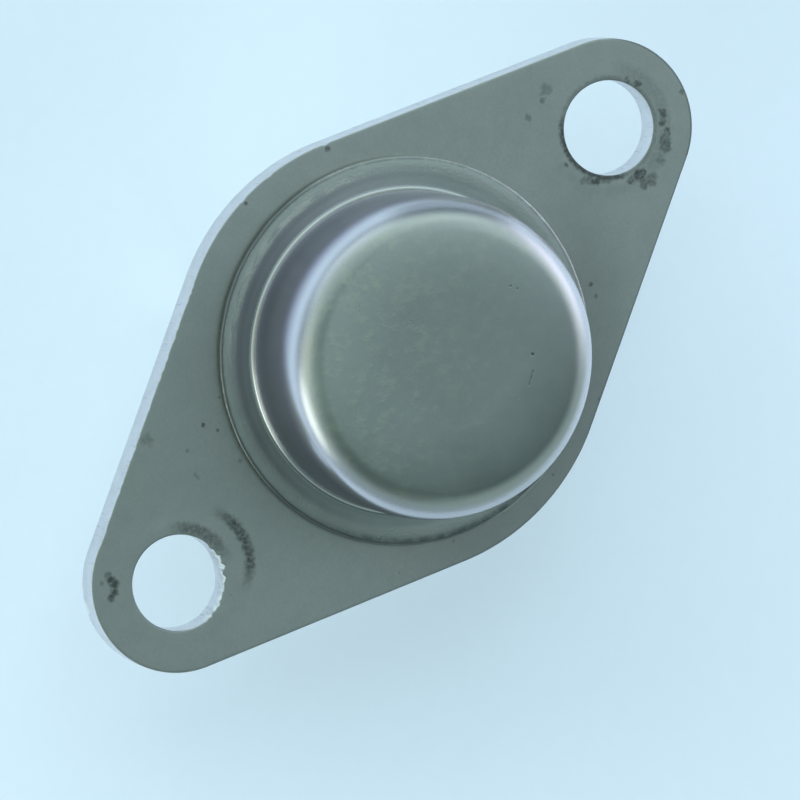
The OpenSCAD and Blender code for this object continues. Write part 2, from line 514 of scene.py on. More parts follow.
def lead_section():
    """A lead from its cut tip up to the flat head."""
    neck = lead_high.z - head_t
    tip = bend((lead_r - TIP_R, lead_low.z + TIP_R), TIP_R, 270, 360, 6)
    shank = [(lead_r, lead_low.z + TIP_R + (neck - lead_low.z - TIP_R) * i / 12) for i in range(1, 12)]
    head = [(lead_r, neck - 0.03), (lead_r + 0.03, neck), (head_r - HEAD_LOWER_R, neck)]
    head += bend((head_r - HEAD_LOWER_R, neck + HEAD_LOWER_R), HEAD_LOWER_R, 270, 360, 3)
    head += bend((head_r - HEAD_UPPER_R, lead_high.z - HEAD_UPPER_R), HEAD_UPPER_R, 0, 90, 4)
    return [(0, lead_low.z)] + tip + shank + head + [(0, lead_high.z)]


def seal_section():
    """A ring of glass, hollow on both faces, with a flat land at the lead and at the hole."""
    hollow = 0.12
    land = 0.1
    steps = 14
    width = seal_r - lead_r
    lower = []
    for i in range(steps + 1):
        across = width * i / steps
        reach = min(1, max(-1, (across - width / 2) / (width / 2 - land)))
        lower.append((lead_r + across, hollow * (1 - reach * reach)))
    upper = [(r, plate_t - h) for r, h in reversed(lower)]
    return lower + upper


for name, side in (("emitter", 1), ("base", -1)):
    centre = (lead_x, side * lead_y)
    pin_mesh = turn(lead_section(), LEAD_POINTS, centre)
    make_piece(name + "_pin", *pin_mesh, name + "_lead", "lead_metal")
    glass_mesh = turn(seal_section(), SEAL_POINTS, centre)
    make_piece(name + "_glass", *glass_mesh, name + "_seal", "seal_glass")

# %% [markdown]
# Inside the can a copper disc carries the chip. It is turned as well, with the rounded edges that
# a punched disc gets when it is tumbled.

# %% Heat spreader
disc_low, disc_high = span("heat_spreader")
disc_r = (disc_high.x - disc_low.x) / 2
disc_centre = ((disc_low.x + disc_high.x) / 2, 0)
LOWER_R = 0.06
UPPER_R = 0.15
DISC_POINTS = 96
disc_section = [(0, disc_low.z)]
disc_section += bend((disc_r - LOWER_R, disc_low.z + LOWER_R), LOWER_R, 270, 360, 4)
disc_section += bend((disc_r - UPPER_R, disc_high.z - UPPER_R), UPPER_R, 0, 90, 6)
disc_section += [(disc_r - 0.5, disc_high.z), (0, disc_high.z)]
disc_mesh = turn(disc_section, DISC_POINTS, disc_centre)
copper_disc = make_piece("copper_disc", *disc_mesh, "heat_spreader", "copper")

# %% [markdown]
# Materials come next. One function adds any node there is: it takes the node's type, its settings,
# which are set first, and the values or links of its sockets.


# %% Nodes
def add_node(tree, kind, settings=None, inputs=None, output=0):
    """Adds a node, sets it up, feeds its sockets with values or wires and gives one output."""
    node = tree.nodes.new(kind)
    for name, value in (settings or {}).items():
        setattr(node, name, value)
    for name, value in (inputs or {}).items():
        feed(tree, node.inputs[name], value)
    return Wire(tree, node.outputs[output])


def feed(tree, socket, value):
    """Puts a number, a colour or a wire on a socket."""
    if isinstance(value, Wire):
        tree.links.new(value.socket, socket)
    elif socket.type == "RGBA" and isinstance(value, tuple):
        socket.default_value = (*value[:3], 1)
    elif socket.type == "VECTOR" and not isinstance(value, tuple):
        socket.default_value = (value, value, value)
    else:
        socket.default_value = value


# %% [markdown]
# The maths of a material reads like arithmetic: a Wire holds one output socket of a node tree, and
# an expression on wires adds the nodes. Numbers go through Math nodes, and colours and positions
# through Vector Math or Mix nodes, because a Math node turns a colour grey. Most looks are masks
# from 0 to 1, so the wire can rise and fall between two levels, or do both.


# %% Wires
class Wire:
    """One output socket. Arithmetic on it adds the nodes that do it."""

    def __init__(self, tree, socket):
        self.tree = tree
        self.socket = socket

    def is_wide(self):
        return self.socket.type in ("RGBA", "VECTOR")

    def node(self, kind, settings=None, inputs=None, output=0):
        return add_node(self.tree, kind, settings, inputs, output)

    def maths(self, operation, first, second=0.0):
        wide = any(isinstance(value, tuple) or isinstance(value, Wire) and value.is_wide()
                   for value in (first, second))
        kind = "ShaderNodeVectorMath" if wide else "ShaderNodeMath"
        return self.node(kind, {"operation": operation}, {0: first, 1: second})

    def __add__(self, other):
        return self.maths("ADD", self, other)

    def __radd__(self, other):
        return self.maths("ADD", other, self)

    def __sub__(self, other):
        return self.maths("SUBTRACT", self, other)

    def __rsub__(self, other):
        return self.maths("SUBTRACT", other, self)

    def __mul__(self, other):
        return self.maths("MULTIPLY", self, other)

    def __rmul__(self, other):
        return self.maths("MULTIPLY", other, self)

    def __truediv__(self, other):
        return self.maths("DIVIDE", self, other)

    def __abs__(self):
        return self.maths("ABSOLUTE", self)

    def larger(self, other):
        return self.maths("MAXIMUM", self, other)

    def smaller(self, other):
        return self.maths("MINIMUM", self, other)

    def length(self):
        return self.node("ShaderNodeVectorMath", {"operation": "LENGTH"}, {0: self}, "Value")

    def dot(self, other):
        return self.node("ShaderNodeVectorMath", {"operation": "DOT_PRODUCT"},
                         {0: self, 1: other}, "Value")

    def rise(self, low, high):
        """0 below low and 1 above high, with a smooth step between."""
        return self.node("ShaderNodeMapRange", {"interpolation_type": "SMOOTHSTEP"},
                         {"Value": self, "From Min": low, "From Max": high})

    def fall(self, low, high):
        """1 below low and 0 above high."""
        return 1 - self.rise(low, high)

    def between(self, start, full, fade, end):
        """1 from full to fade, and 0 below start and above end."""
        return self.rise(start, full) * self.fall(fade, end)

    def parts(self):
        """The three numbers of a position."""
        split = self.node("ShaderNodeSeparateXYZ", None, {0: self}).socket.node
        return [Wire(self.tree, output) for output in split.outputs]

    def heading(self):
        """The angle of a position round the upright axis, in radians from +X."""
        x, y, _ = self.parts()
        return self.maths("ARCTAN2", y, x)

    def blend(self, first, second):
        """Mixes two colours by this factor."""
        return self.node("ShaderNodeMix", {"data_type": "RGBA"}, {0: self, 6: first, 7: second}, 2)


print("a wire knows", sum(callable(value) for value in vars(Wire).values()), "operations")

# %% [markdown]
# A Finish is one material under way. It gives the position on the part in millimetres, so that
# every scratch and stain has a real size and lies where the photo has it, and it offers the few
# patterns that all finishes share. Many marks lie on one side of something, and a dot product
# with a level direction tells how far a point lies that way.


# %% Finishes
def toward(azimuth):
    """The level direction at an angle from +X, in degrees."""
    angle = math.radians(azimuth)
    return math.cos(angle), math.sin(angle), 0.0


class Finish:
    """A material with one Principled shader, its constants set on the shader's own sockets."""

    def __init__(self, name, **constants):
        self.material = bpy.data.materials.new(name)
        self.material.use_nodes = True
        self.tree = self.material.node_tree
        self.shader = self.tree.nodes["Principled BSDF"]
        for socket, value in constants.items():
            feed(self.tree, self.shader.inputs[socket.replace("_", " ")], value)
        place = add_node(self.tree, "ShaderNodeTexCoord", output="Object")
        self.place = place * (1 / MM)
        self.x, self.y, self.z = self.place.parts()
        self.facing = add_node(self.tree, "ShaderNodeNewGeometry", output="Normal")
        self.facing_up = self.facing.parts()[2]

    def noise(self, scale, detail=2.0, stretch=(1.0, 1.0, 1.0), rough=0.5, place=None, output=0):
        where = (place or self.place) * stretch
        return add_node(self.tree, "ShaderNodeTexNoise", {"noise_dimensions": "3D"},
                        {"Vector": where, "Scale": scale, "Detail": detail, "Roughness": rough}, output)

    def cells(self, scale, stretch=(1.0, 1.0, 1.0), place=None):
        where = (place or self.place) * stretch
        return add_node(self.tree, "ShaderNodeTexVoronoi", None,
                        {"Vector": where, "Scale": scale}, "Distance")

    def spots(self, places, ragged):
        """A mask of round spots of (x, y, radius, strength), on positions that noise has shaken."""
        total = None
        for x, y, radius, strength in places:
            gap = (ragged - (x, y, 0.0)).length()
            mask = gap.fall(radius * 0.35, radius) * strength
            total = total.larger(mask) if total else mask
        return total

    def shaken(self, scale, amount, flat=True):
        """Positions pushed about by noise, so that marks get ragged outlines."""
        push = self.noise(scale, 2.0, output="Color") - (0.5, 0.5, 0.5)
        place = self.place * (1.0, 1.0, 0.0) if flat else self.place
        return place + push * (amount, amount, 0.0 if flat else amount)

    def give(self, **wires):
        for name, wire in wires.items():
            feed(self.tree, self.shader.inputs[name.replace("_", " ")], wire)

    def relief(self, height):
        """Raises the surface by a height in millimetres."""
        bump = add_node(self.tree, "ShaderNodeBump", None,
                        {"Strength": 1.0, "Distance": MM, "Height": height})
        self.give(Normal=bump)

    def report(self, layer):
        """Tells how far the node tree has grown after a layer."""
        print(f"{self.material.name}, {layer}: {len(self.tree.nodes)} nodes")

    def dress(self, *pieces):
        for piece in pieces:
            piece.data.materials.clear()
            piece.data.materials.append(self.material)
        print(self.material.name, "has", len(self.tree.nodes), "nodes")


# %% [markdown]
# The header's nickel is matt and even, a little green under the cool light, with a grain too fine
# to see as lines. On it lie the marks of use. Every mark is a mask from 0 to 1. The first masks are
# round spots on positions that noise has shaken, which gives them ragged outlines. Each spot is
# given as x, y, radius and strength. Most of the blots lie where a screw head sat on the right
# hole, and the specks lie all over the plate, with a small hooked mark beside the left hole.

# %% Blots and specks on the header
blots = [(14.14, -1.14, 0.26, 0.9), (13.96, -1.42, 0.24, 0.9), (13.78, -1.79, 0.3, 0.9),
         (13.49, -1.95, 0.28, 0.8), (13.36, -2.18, 0.34, 0.8), (12.88, -2.42, 0.34, 0.55),
         (11.78, -2.2, 0.34, 1.1), (11.77, -2.6, 0.34, 0.8), (12.02, -2.73, 0.32, 0.7),
         (11.43, -2.09, 0.24, 0.9), (12.02, -2.27, 0.24, 1.0), (9.99, 0.25, 0.14, 0.8),
         (10.07, -0.7, 0.2, 0.5), (10.26, -0.88, 0.26, 0.8), (10.42, -1.07, 0.28, 1.0),
         (10.62, -1.27, 0.26, 0.9), (10.83, -1.5, 0.22, 0.6),
         (14.19, 0.36, 0.22, 0.9), (14.02, 0.77, 0.24, 0.8), (13.6, 1.3, 0.2, 0.5),
         (11.44, 2.96, 0.34, 0.45), (11.0, 2.72, 0.2, 0.6), (10.17, 2.66, 0.2, 0.5),
         (-9.2, 4.8, 0.32, 0.4), (-8.83, 2.42, 0.18, 0.4)]
specks = [(-13.94, 2.22, 0.22, 0.8), (-13.97, 2.02, 0.24, 1.1), (-13.99, 1.82, 0.27, 1.2),
          (-14.2, 1.6, 0.22, 1.1), (-14.45, 1.55, 0.2, 1.0), (-14.3, 2.2, 0.14, 0.6),
          (-7.28, 3.6, 0.11, 0.9), (-7.03, 3.06, 0.11, 0.8), (-7.22, 1.57, 0.12, 0.4),
          (7.46, -3.83, 0.13, 0.8), (7.28, -4.31, 0.12, 0.7), (7.38, 1.11, 0.14, 0.5),
          (3.58, 7.58, 0.16, 0.9), (-0.19, 8.42, 0.12, 0.8), (6.11, 6.86, 0.12, 0.6),
          (15.3, -1.15, 0.16, 0.8), (-6.1, 3.9, 0.08, 0.5), (-8.4, 3.35, 0.1, 0.4),
          (4.6, -7.25, 0.1, 0.6), (-3.4, -6.9, 0.09, 0.5), (1.2, -8.0, 0.08, 0.5)]
plate = Finish("flange_nickel_satin", Metallic=1.0, Specular_IOR_Level=0.5)
upper = plate.facing_up.rise(0.5, 0.85)
side = abs(plate.facing_up).fall(0.25, 0.6)
crumbs = plate.noise(6.0, 3.0, rough=0.65).rise(0.3, 0.6)
spots = plate.spots(blots, plate.shaken(3.2, 0.5))
spots = spots.larger(plate.spots(specks, plate.shaken(7.0, 0.16)))
dirt_and_shade = spots * (0.5 + crumbs * 0.5)
print(len(blots), "blots and", len(specks), "specks lie on the header")

# %% [markdown]
# Beside the left hole lie a dark scuff, bent like a crescent, and a paler one closer to the hole,
# as a turned screw head leaves them. Both are bands round the hole's centre, told by a distance and
# an angle. The crescent's middle line isn't a circle, so its distance changes with the angle.

# %% Scuffs at the left hole
CRESCENT_R = 3.1
PALE_SCUFF_R = 2.12
from_left = plate.shaken(5.0, 0.3) - (left_hole.x, 0.0, 0.0)
left_gap = from_left.length()
left_angle = from_left.heading()
crescent_r = CRESCENT_R + left_angle * 0.05 - left_angle * left_angle * 0.5
crescent = abs(left_gap - crescent_r).fall(0.05, 0.32) * left_angle.between(-1.0, -0.5, 0.0, 0.4)
crescent = crescent * from_left.parts()[0].rise(0.5, 1.0)
pale_scuff = abs(left_gap - PALE_SCUFF_R).fall(0.06, 0.34) * left_angle.between(-0.5, 0.1, 0.6, 1.1)
dirt_and_shade = dirt_and_shade.larger(crescent * (0.45 + crumbs * 0.5)) * upper
dirt_and_shade = dirt_and_shade.larger(pale_scuff * (0.3 + crumbs * 0.4) * upper)
plate.report("scuffs at the left hole")

# %% [markdown]
# The right hole has a dark line that hugs it, strongest at its lower left, and a smoky ring round
# that, where the screw head ended. The noise that shakes the positions makes both a little uneven.

# %% Marks at the right hole
SMOKE_R = 2.3
from_right = plate.shaken(5.0, 0.2) - (right_hole.x, 0.0, 0.0)
right_gap = from_right.length()
lower_left = from_right.dot(toward(186)).rise(0.6, 1.4)
hugging = right_gap.fall(hole_r + 0.1, hole_r + 0.28) * (0.35 + lower_left * 0.65)
dirt_and_shade = dirt_and_shade.larger(hugging * (0.75 + crumbs * 0.35) * upper)
smoky = abs(right_gap - SMOKE_R).fall(0.12, 0.42) * from_right.dot(toward(330)).rise(0.3, 1.5)
dirt_and_shade = dirt_and_shade.larger(smoky * (0.1 + crumbs * 0.16) * upper)
plate.report("marks at the right hole")

# %% [markdown]
# The outline is painted as a thin dark line round the right end and along the lower right side. Both lines
# follow the outline itself: the distance from the end's centre for the round part, and the distance from
# the plate's centre, straight out of the side, for the long one. Painted shade fills the crevice beside
# the welded rim, and a few flecks of dirt lie anywhere.

# %% Dark edges and the crevice
level_place = plate.place * (1.0, 1.0, 0.0)
round_end = level_place - (right_hole.x, 0.0, 0.0)
end_edge = round_end.length().rise(end_r - 0.12, end_r - 0.04)
end_edge = end_edge * round_end.dot(toward(math.degrees(side_angle))).rise(0.0, 0.1)
end_edge = end_edge * round_end.dot(toward(338)).rise(1.0, 2.5)
side_facing = toward(math.degrees(side_angle) - 90)
long_edge = plate.place.dot(side_facing).rise(mid_r - 0.1, mid_r - 0.03)
dirt_and_shade = dirt_and_shade.larger((end_edge * 0.65).larger(long_edge * 0.4) * upper)
from_cap = level_place - (cap_x, cap_y, 0.0)
cap_gap = from_cap.length()
# Painted shade darkens the crevice beside the rim, on its left.
crevice_shade = cap_gap.fall(rim_r + 0.01, rim_r + 0.07) * from_cap.dot(toward(145)).rise(-2.5, 1.5)
dirt_and_shade = dirt_and_shade.larger(crevice_shade * upper * 0.22)
flecks = plate.cells(1.6, place=plate.shaken(8.0, 0.1)).fall(0.03, 0.09)
flecks = flecks * plate.noise(0.9).rise(0.5, 0.62)
dirt_and_shade = dirt_and_shade.larger(flecks * upper * 0.4).smaller(1.0)
plate.report("dirt complete")

# %% [markdown]
# Under the dirt lies the plain nickel. Its tone is a sum of noises from large patches to a fine grain, and
# a painted reflection of the can's side makes it a little darker behind the can.

# %% Plain nickel of the header
patches = plate.noise(0.22, 3.0, rough=0.55)
mottle = plate.noise(1.7, 4.0, rough=0.6)
grain = plate.noise(26.0, 3.0, rough=0.7)
mesh_grain = plate.noise(8.0, 3.0, rough=0.7)
# Painted reflection of the can's side, darker behind the can.
can_reflection = cap_gap.fall(7.6, 10.5) * from_cap.dot(toward(290)).rise(1.0, 7.0)
tone = 0.71 + patches * 0.14 + mottle * 0.14 + mesh_grain * 0.2 + grain * 0.22
tone = tone * (1.0 - can_reflection * 0.24)
metal = plate.noise(0.6, 2.0).blend((0.635, 0.64, 0.59), (0.615, 0.635, 0.565)) * tone
plate.report("plain nickel")

# %% [markdown]
# The sheared side wall is fresher and paler, with upright streaks from the press. Its rolled upper edge is
# painted dark as shade where it faces away from the left window. A painted glint lies low on the wall of
# the left end, and the torn burr in the left hole is bare metal, painted bright as a highlight too.

# %% Side wall of the header
worn_side = plate.noise(1.6, 4.0, rough=0.65).blend((0.6, 0.585, 0.62), (0.86, 0.84, 0.88))
metal = (side * 0.92).blend(metal, worn_side)
rolled = plate.facing_up.between(0.15, 0.4, 0.93, 0.995)
# Painted shade on the rolled edge where it faces away from the left window.
shade_away = plate.facing.dot(toward(321.3)).rise(-0.156, 0.208)
metal = (rolled * shade_away * 0.75).blend(metal, (0.16, 0.18, 0.22))
# A painted glint low on the wall of the left end.
glint_spot = plate.spots([(-15.2, 1.55, 0.5, 1.0)], plate.place)
glint_spot = glint_spot * plate.facing_up.fall(0.93, 0.995)
metal = glint_spot.blend(metal, (0.95, 0.94, 0.85))
# The bare metal of the burr, painted bright as a highlight.
burr_and_highlight = left_gap.fall(2.1, 2.2) * side * plate.z.rise(0.7, 1.2)
burr_and_highlight = burr_and_highlight * left_angle.between(burr_from, burr_from + 0.4, burr_to - 0.4, burr_to)
metal = burr_and_highlight.blend(metal, (0.93, 0.92, 0.86))
streak = plate.noise(9.0, 3.0, (1.0, 1.0, 0.08))
metal = (side * streak.rise(0.56, 0.74) * 0.35).blend(metal, (0.3, 0.31, 0.34))
plate.report("side wall")

# %% [markdown]
# Last, the masks meet on the shader. Dirt is rougher than metal, and the side wall is smoother. The
# relief is a few thousandths of a millimetre of grain with some hair-line scratches, and only the
# torn band below on the side wall is really rough.

# %% Dress the header
soot_and_shade = (0.1, 0.11, 0.105)
# The dark colour is both the dirt and the painted shade of the crevice.
plate.give(Base_Color=(dirt_and_shade * 0.85).blend(metal, soot_and_shade))
plate.give(Roughness=0.4 + mottle * 0.08 + dirt_and_shade * 0.15 - side * 0.12)
scratch_place = plate.noise(0.8, 1.0, output="Color") * 0.3 + plate.place
hair_lines = plate.cells(1.3, (1.0, 0.06, 1.0), scratch_place).fall(0.0, 0.022) * upper
torn_side = side * plate.z.fall(0.7, 0.8)
plate.relief(grain * 0.004 + mottle * 0.003 - hair_lines * 0.0015
             + streak * side * 0.008 + plate.noise(14.0, 3.0) * torn_side * 0.02)
plate.dress(header)

# %% [markdown]
# The can is the same nickel, brighter because drawing stretched it smooth. What a point looks like depends
# on where it lies, so its places come first, as masks from 0 to 1. They are told by the height, by the
# distance from the can's axis and by how much the surface faces up. The material is then built up in
# layers: plain sheet, weld, painted light and shade, and dirt.

# %% Places on the can
top_z = plate_t + cap_h
shell = Finish("can_nickel_satin", Metallic=1.0, Specular_IOR_Level=0.5)
from_axis = shell.place * (1.0, 1.0, 0.0) - (cap_x, cap_y, 0.0)
across = from_axis.length()
on_top = shell.facing_up.rise(0.7, 0.97) * shell.z.rise(top_z - 1.2, top_z - 0.6)
low_down = shell.z.fall(plate_t + 0.5, plate_t + 0.6)
on_rim = across.rise(6.55, 6.7) * low_down
steep = shell.facing_up.fall(0.5, 0.95)
wall = shell.facing_up.fall(0.08, 0.32)
root_end = foot_r + root_r
in_root = across.between(foot_r - 0.03, foot_r + 0.03, root_end, root_end + 0.05)
print(f"the top lies at {top_z:.2f} mm and the bend at the foot ends at {root_end:.2f} mm")

# %% [markdown]
# The plain sheet is a greenish grey on top. The steep parts are painted lilac for the tint of the light
# they mirror, and the wall is painted darker as shade. Cloudy noise, a fine grit and the upright lines of
# the drawing die vary its tone. Its top has faint yellowish blotches, stronger at the upper left.

# %% Plain nickel of the can
cloud = shell.noise(0.5, 3.0)
grit = shell.noise(24.0, 3.0, rough=0.7)
draw_lines = shell.noise(7.0, 3.0, (1.0, 1.0, 0.05), rough=0.6)
tone = 0.84 + cloud * 0.1 + grit * 0.17 + draw_lines * 0.05
upper_left = (from_axis.dot(toward(120)) * 0.09 + 0.5).smaller(1.0).larger(0.15)
blotch = shell.noise(2.3, 4.0, rough=0.65).rise(0.45, 0.7) * upper_left * on_top
# The lilac of the steep parts is a painted reflection tint, and the darker wall is painted shade.
metal = steep.blend((0.62, 0.635, 0.575), (0.7, 0.685, 0.73))
metal = wall.blend(metal, (0.42, 0.385, 0.5))
metal = blotch.blend(metal, (0.71, 0.715, 0.6)) * tone
shell.report("plain nickel")

# %% [markdown]
# A ring on the rim is where the electrode pressed and the weld was made. It is paler, rougher and
# full of tiny specks. On one side its plating is torn into bright flakes, longer round the ring
# than across it, so their noise is taken along the ring. On the side opposite, the outer part of
# the rim is smeared dark.

# %% Weld on the rim
WELD = (6.7, 6.95, 7.15, 7.4)
TORN = (6.8, 6.95, 7.1, 7.3)
weld = on_rim * across.between(*WELD)
speck = shell.cells(5.5).fall(0.05, 0.17) * shell.noise(3.0).rise(0.5, 0.6)
metal = (weld * (0.25 + speck * 0.6)).blend(metal, (0.74, 0.75, 0.66))
round_ring = across.node("ShaderNodeCombineXYZ", None, {0: from_axis.heading() * 5.0, 1: across * 4.0})
flakes = shell.noise(1.3, 4.0, rough=0.7, place=round_ring).rise(0.44, 0.56)
flakes = flakes * across.between(*TORN) * on_rim * from_axis.dot(toward(99)).rise(4.8, 6.6)
metal = (flakes * 0.85).blend(metal, (0.9, 0.9, 0.76))
smear = on_rim * across.rise(7.1, 7.4) * from_axis.dot(toward(255)).rise(2.5, 6.0)
smear = smear * shell.noise(2.2, 4.0, rough=0.65).rise(0.35, 0.6)
metal = (smear * 0.7).blend(metal, (0.22, 0.24, 0.24))
print("the weld lies between", WELD[0], "and", WELD[-1], "mm from the can's axis")

# %% [markdown]
# Light and shade don't fall equally all round the can, and some of them are painted into its colour.
# Painted shade makes the shoulder duller at the lower right and at the top, a painted lilac sheen lies on
# the right, and painted light makes the flat top a little brighter on the left. Each of these sides is a
# mask by the direction in which a point lies from the axis.

# %% Painted light and shade on the sides
on_shoulder = shell.z.rise(3.5, 4.5)
# Painted shade on the lower right of the shoulder.
shade_lower = steep * from_axis.dot(toward(258.5)).rise(0.5, 4.8) * on_shoulder
metal = metal * (1.0 - shade_lower * 0.3)
# A painted lilac sheen on the right.
lilac_sheen = steep * from_axis.dot(toward(340)).rise(1.0, 5.0)
metal = (lilac_sheen * 0.6).blend(metal, (0.83, 0.76, 0.83))
# Painted shade on the shoulder at the top.
far_end = (from_axis.dot(toward(43)) / (across + 0.1)).rise(0.86, 0.96)
shade_far = shell.facing_up.between(0.12, 0.4, 0.65, 0.92) * far_end
metal = metal * (1.0 - shade_far * 0.42)
# Painted light on the left of the flat top.
light_left = from_axis.dot(toward(162)).rise(0.5, 5.0) * on_top
metal = metal * (1.0 + light_left * 0.16)
shell.report("brighter and duller sides")

# %% [markdown]
# The rim's own edges show as lines. Painted shade darkens the inner part of the rim on the left, a painted
# highlight makes the bend at the wall's foot a pale line, old dirt stains the outer part in patches, and
# the rounded outer edge is dull, with painted shade darkest on the left.

# %% Lines of the rim
# Painted shade on the inner part of the rim, on the left.
inner_rim_shade = on_rim * across.fall(6.75, 7.0) * from_axis.dot(toward(136)).rise(-1.0, 5.0)
metal = (inner_rim_shade * 0.7).blend(metal, (0.49, 0.5, 0.47))
# A painted highlight along the bend at the wall's foot.
root_glint = in_root * shell.z.fall(plate_t + 0.6, plate_t + 0.7)
metal = root_glint.blend(metal, (0.72, 0.715, 0.68))
stain = on_rim * across.rise(7.3, 7.42) * shell.noise(2.6, 4.0, rough=0.7).rise(0.4, 0.55)
metal = (stain * 0.6).blend(metal, (0.2, 0.215, 0.205))
rim_edge = across.rise(rim_r - 0.14, rim_r - 0.08) * low_down
# Painted shade on the rim's outer edge, darkest on the left.
left_edge_shade = from_axis.dot(toward(165)).rise(-1.0, 1.5)
metal = (rim_edge * 0.8).blend(metal, (0.56, 0.57, 0.51))
metal = (rim_edge * (0.22 + left_edge_shade * 0.58)).blend(metal, (0.2, 0.21, 0.21))
shell.report("lines of the rim")

# %% [markdown]
# The top has a few pits and one fine scratch. A scratch is a line between two points: how far a
# point lies along it and aside of it gives the mask, and noise breaks it up.

# %% Pits and a scratch on the top
pit_cells = shell.cells(2.2, place=shell.shaken(9.0, 0.1, False)).fall(0.02, 0.07)
pits = pit_cells * shell.noise(1.3).rise(0.52, 0.6) * on_top
single_pits = [(2.79, -2.29, 0.09, 0.8), (3.98, 0.2, 0.07, 0.6), (4.1, -0.07, 0.06, 0.6)]
pits = pits.larger(shell.spots(single_pits, shell.shaken(9.0, 0.06)) * on_top)
start = Vector((2.44, -2.72, 0))
run = Vector((1.81, -3.05, 0)) - start
scratch_l = run.length
way = tuple(run / scratch_l)
from_start = shell.shaken(5.0, 0.05) - tuple(start)
along = from_start.dot(way)
aside = (from_start - along * way).length()
scratch = aside.fall(0.015, 0.05) * along.between(-0.05, 0.05, scratch_l, scratch_l + 0.1)
scratch = scratch * on_top * shell.noise(3.0, 2.0).rise(0.35, 0.55)
print(f"one scratch, {scratch_l:.2f} mm long, and {len(single_pits)} single pits")

# %% [markdown]
# Last, the layers meet on the shader. The steep parts and the bend at the foot are the smoothest,
# and pits and the scratch are cut a hundredth of a millimetre deep at most.

# %% Dress the can
shell.give(Base_Color=(pits * 0.75).larger(scratch * 0.45).blend(metal, (0.1, 0.11, 0.1)))
shell.give(Roughness=0.28 + cloud * 0.06 + weld * 0.08 + blotch * 0.04 - steep * 0.06
           - in_root * 0.1 + stain * 0.15)
shell.relief(grit * 0.003 + cloud * 0.01 + blotch * 0.003 - pits * 0.01 - scratch * 0.006
             + weld * speck * 0.012 + weld * shell.noise(9.0, 3.0) * 0.01 + draw_lines * 0.0012)
shell.dress(cap)

# %% [markdown]
# The leads were dipped in tin, which is bright and slightly wavy. Long noise makes the waves, and
# fine noise stretched along the lead makes the drag marks of the dip.

# %% Tin of the leads
tin = Finish("tinned_lead", Metallic=1.0)
waves = tin.noise(1.4, 2.0, (1.0, 1.0, 0.5))
drag = tin.noise(16.0, 3.0, (1.0, 1.0, 0.12))
tin.give(Base_Color=waves.blend((0.7, 0.7, 0.67), (0.8, 0.8, 0.77)) * (0.85 + drag * 0.2))
tin.give(Roughness=0.2 + drag * 0.22)
tin.relief(waves * 0.03 + drag * 0.003)
tin.dress(*[o for o in scene.objects if o.name.endswith("_pin")])

# %% [markdown]
# The glass of the seals is nearly black green, with small bubbles under its shiny skin.

# %% Glass of the seals
glass = Finish("dark_seal_glass", Metallic=0.0, Specular_IOR_Level=0.6)
bubbles = glass.cells(3.4).fall(0.05, 0.12) * glass.noise(2.0).rise(0.5, 0.6)
swirl = glass.noise(1.6, 3.0)
melt = swirl.blend((0.012, 0.022, 0.018), (0.03, 0.05, 0.042))
glass.give(Base_Color=melt + bubbles * (0.03, 0.04, 0.035))
glass.give(Roughness=0.07 + swirl * 0.08)
glass.relief(swirl * 0.02 + bubbles * 0.01)
glass.dress(*[o for o in scene.objects if o.name.endswith("_glass")])

# %% [markdown]
# Inside the sealed can nothing tarnishes much. The copper disc is satin from tumbling, with a
# little oxide, and the solder under the chip is a dull grey with some dross.

# %% Copper and solder
red_metal = Finish("satin_copper", Metallic=1.0)
oxide = red_metal.noise(0.9, 4.0, rough=0.6)
tumbled = red_metal.noise(12.0, 3.0)
copper = oxide.blend((0.82, 0.46, 0.3), (0.62, 0.3, 0.19))
red_metal.give(Base_Color=copper * (0.9 + tumbled * 0.15))
red_metal.give(Roughness=0.3 + oxide * 0.12)
red_metal.relief(tumbled * 0.004)
red_metal.dress(copper_disc)

soft_solder = Finish("chip_solder", Metallic=1.0)
dross = soft_solder.noise(2.6, 4.0)
soft_solder.give(Base_Color=dross.blend((0.66, 0.66, 0.66), (0.5, 0.51, 0.52)))
soft_solder.give(Roughness=0.28 + dross * 0.2)
soft_solder.relief(dross * 0.02)
soft_solder.dress(frame["nodes"]["die_solder"])

# %% [markdown]
# The chip is polished silicon. Its upper face carries the bright contacts of the transistor, a
# comb of narrow fingers with one broad bar across them. Stripes that go to and fro with y make the
# fingers, and a plain border keeps them off the chip's edge.

# %% Silicon of the chip
FINGER_PITCH = 0.22
BORDER = (0.92, 0.96)
chip_low, chip_high = span("die")
chip_x = (chip_low.x + chip_high.x) / 2
silicon = Finish("chip_silicon", Metallic=0.6)
from_middle = silicon.x - chip_x
inside = abs(from_middle).fall(*BORDER) * abs(silicon.y).fall(*BORDER)
shifted = silicon.y + 5.0
stripes = abs(shifted.maths("PINGPONG", shifted, FINGER_PITCH) - FINGER_PITCH / 2)
bar = abs(from_middle + 0.35).fall(0.2, 0.22)
contact = stripes.rise(0.025, 0.035).larger(bar) * inside
upper_face = silicon.facing_up.rise(0.6, 0.9)
contact = contact * upper_face * silicon.z.rise(chip_high.z - 0.02, chip_high.z - 0.01)
wafer = silicon.noise(1.2, 2.0).blend((0.13, 0.14, 0.19), (0.2, 0.19, 0.22))
silicon.give(Base_Color=contact.blend(wafer, (0.86, 0.86, 0.87)), Roughness=0.14 + contact * 0.24)
silicon.give(Metallic=0.5 + contact * 0.5)
silicon.relief(contact * 0.004 + silicon.noise(30.0) * contact * 0.002)
silicon.dress(frame["nodes"]["die"])

# %% [markdown]
# The bond wires are drawn aluminium, bright with a faint grain.

# %% Aluminium of the bond wires
wire_metal = Finish("bond_aluminium", Metallic=1.0)
drawn = wire_metal.noise(18.0, 2.0)
wire_metal.give(Base_Color=drawn.blend((0.84, 0.84, 0.85), (0.72, 0.72, 0.74)))
wire_metal.give(Roughness=0.26 + drawn * 0.14)
wire_metal.relief(drawn * 0.003)
wire_metal.dress(frame["nodes"]["emitter_wire"], frame["nodes"]["base_wire"])
